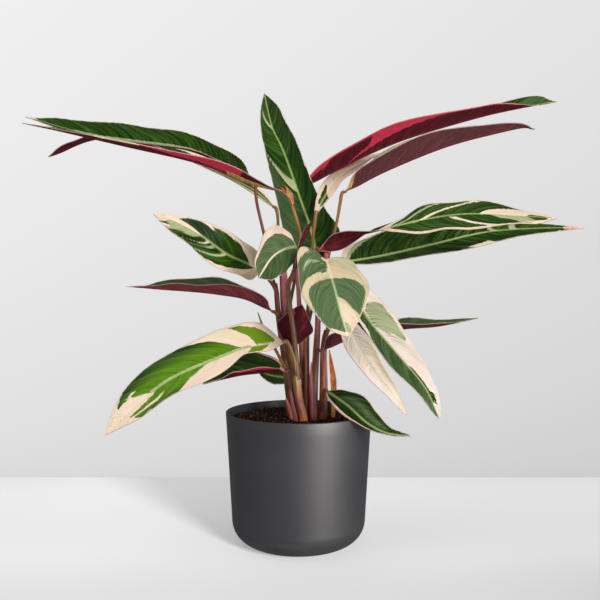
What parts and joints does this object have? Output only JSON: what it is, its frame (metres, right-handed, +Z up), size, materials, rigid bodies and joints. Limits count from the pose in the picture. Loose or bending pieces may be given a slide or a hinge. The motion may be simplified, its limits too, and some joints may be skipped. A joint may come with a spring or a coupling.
{
  "type": "potted prayer plant",
  "caption": "Variegated prayer plant in a round dark-grey pot: lance-shaped green, cream and pink leaves, maroon beneath, on slim stalks that rise from dark compost.",
  "frame": {"origin": "centre of the pot's underside, where it rests", "axes": "+Z up along the pot's axis, +X towards the right-hand leaves and -Y towards the viewer of the plant's front"},
  "size_m": [0.5734, 0.2372, 0.4612],
  "materials": {
    "pot": "satin",
    "soil": "matte",
    "stem": "satin",
    "leaf": "satin",
    "dry_sheath": "matte"
  },
  "bodies": {
    "root": {"pot": "pot", "soil": "soil", "stem_left": "stem", "stem_back": "stem", "stem_front": "stem", "stem_low": "stem", "stem_centre": "stem", "stem_inner_right": "stem", "stem_right": "stem", "leaf_upper_left_front": "leaf", "leaf_upper_left_long": "leaf", "leaf_upper_left_back": "leaf", "leaf_top_upright": "leaf", "leaf_upper_right_high": "leaf", "leaf_upper_right_low": "leaf", "leaf_cream_back": "leaf", "leaf_right_twisted": "leaf", "leaf_right_long": "leaf", "leaf_right_low": "leaf", "leaf_left_broad": "leaf", "leaf_left_narrow": "leaf", "leaf_left_large": "leaf", "leaf_left_low": "leaf", "leaf_left_hidden": "leaf", "leaf_young_rolled": "leaf", "leaf_centre_front": "leaf", "leaf_drooping_cream": "leaf", "leaf_drooping_large": "leaf", "leaf_maroon_inner": "leaf", "leaf_over_rim": "leaf", "dry_sheath": "dry_sheath"}
  },
  "joints": []
}
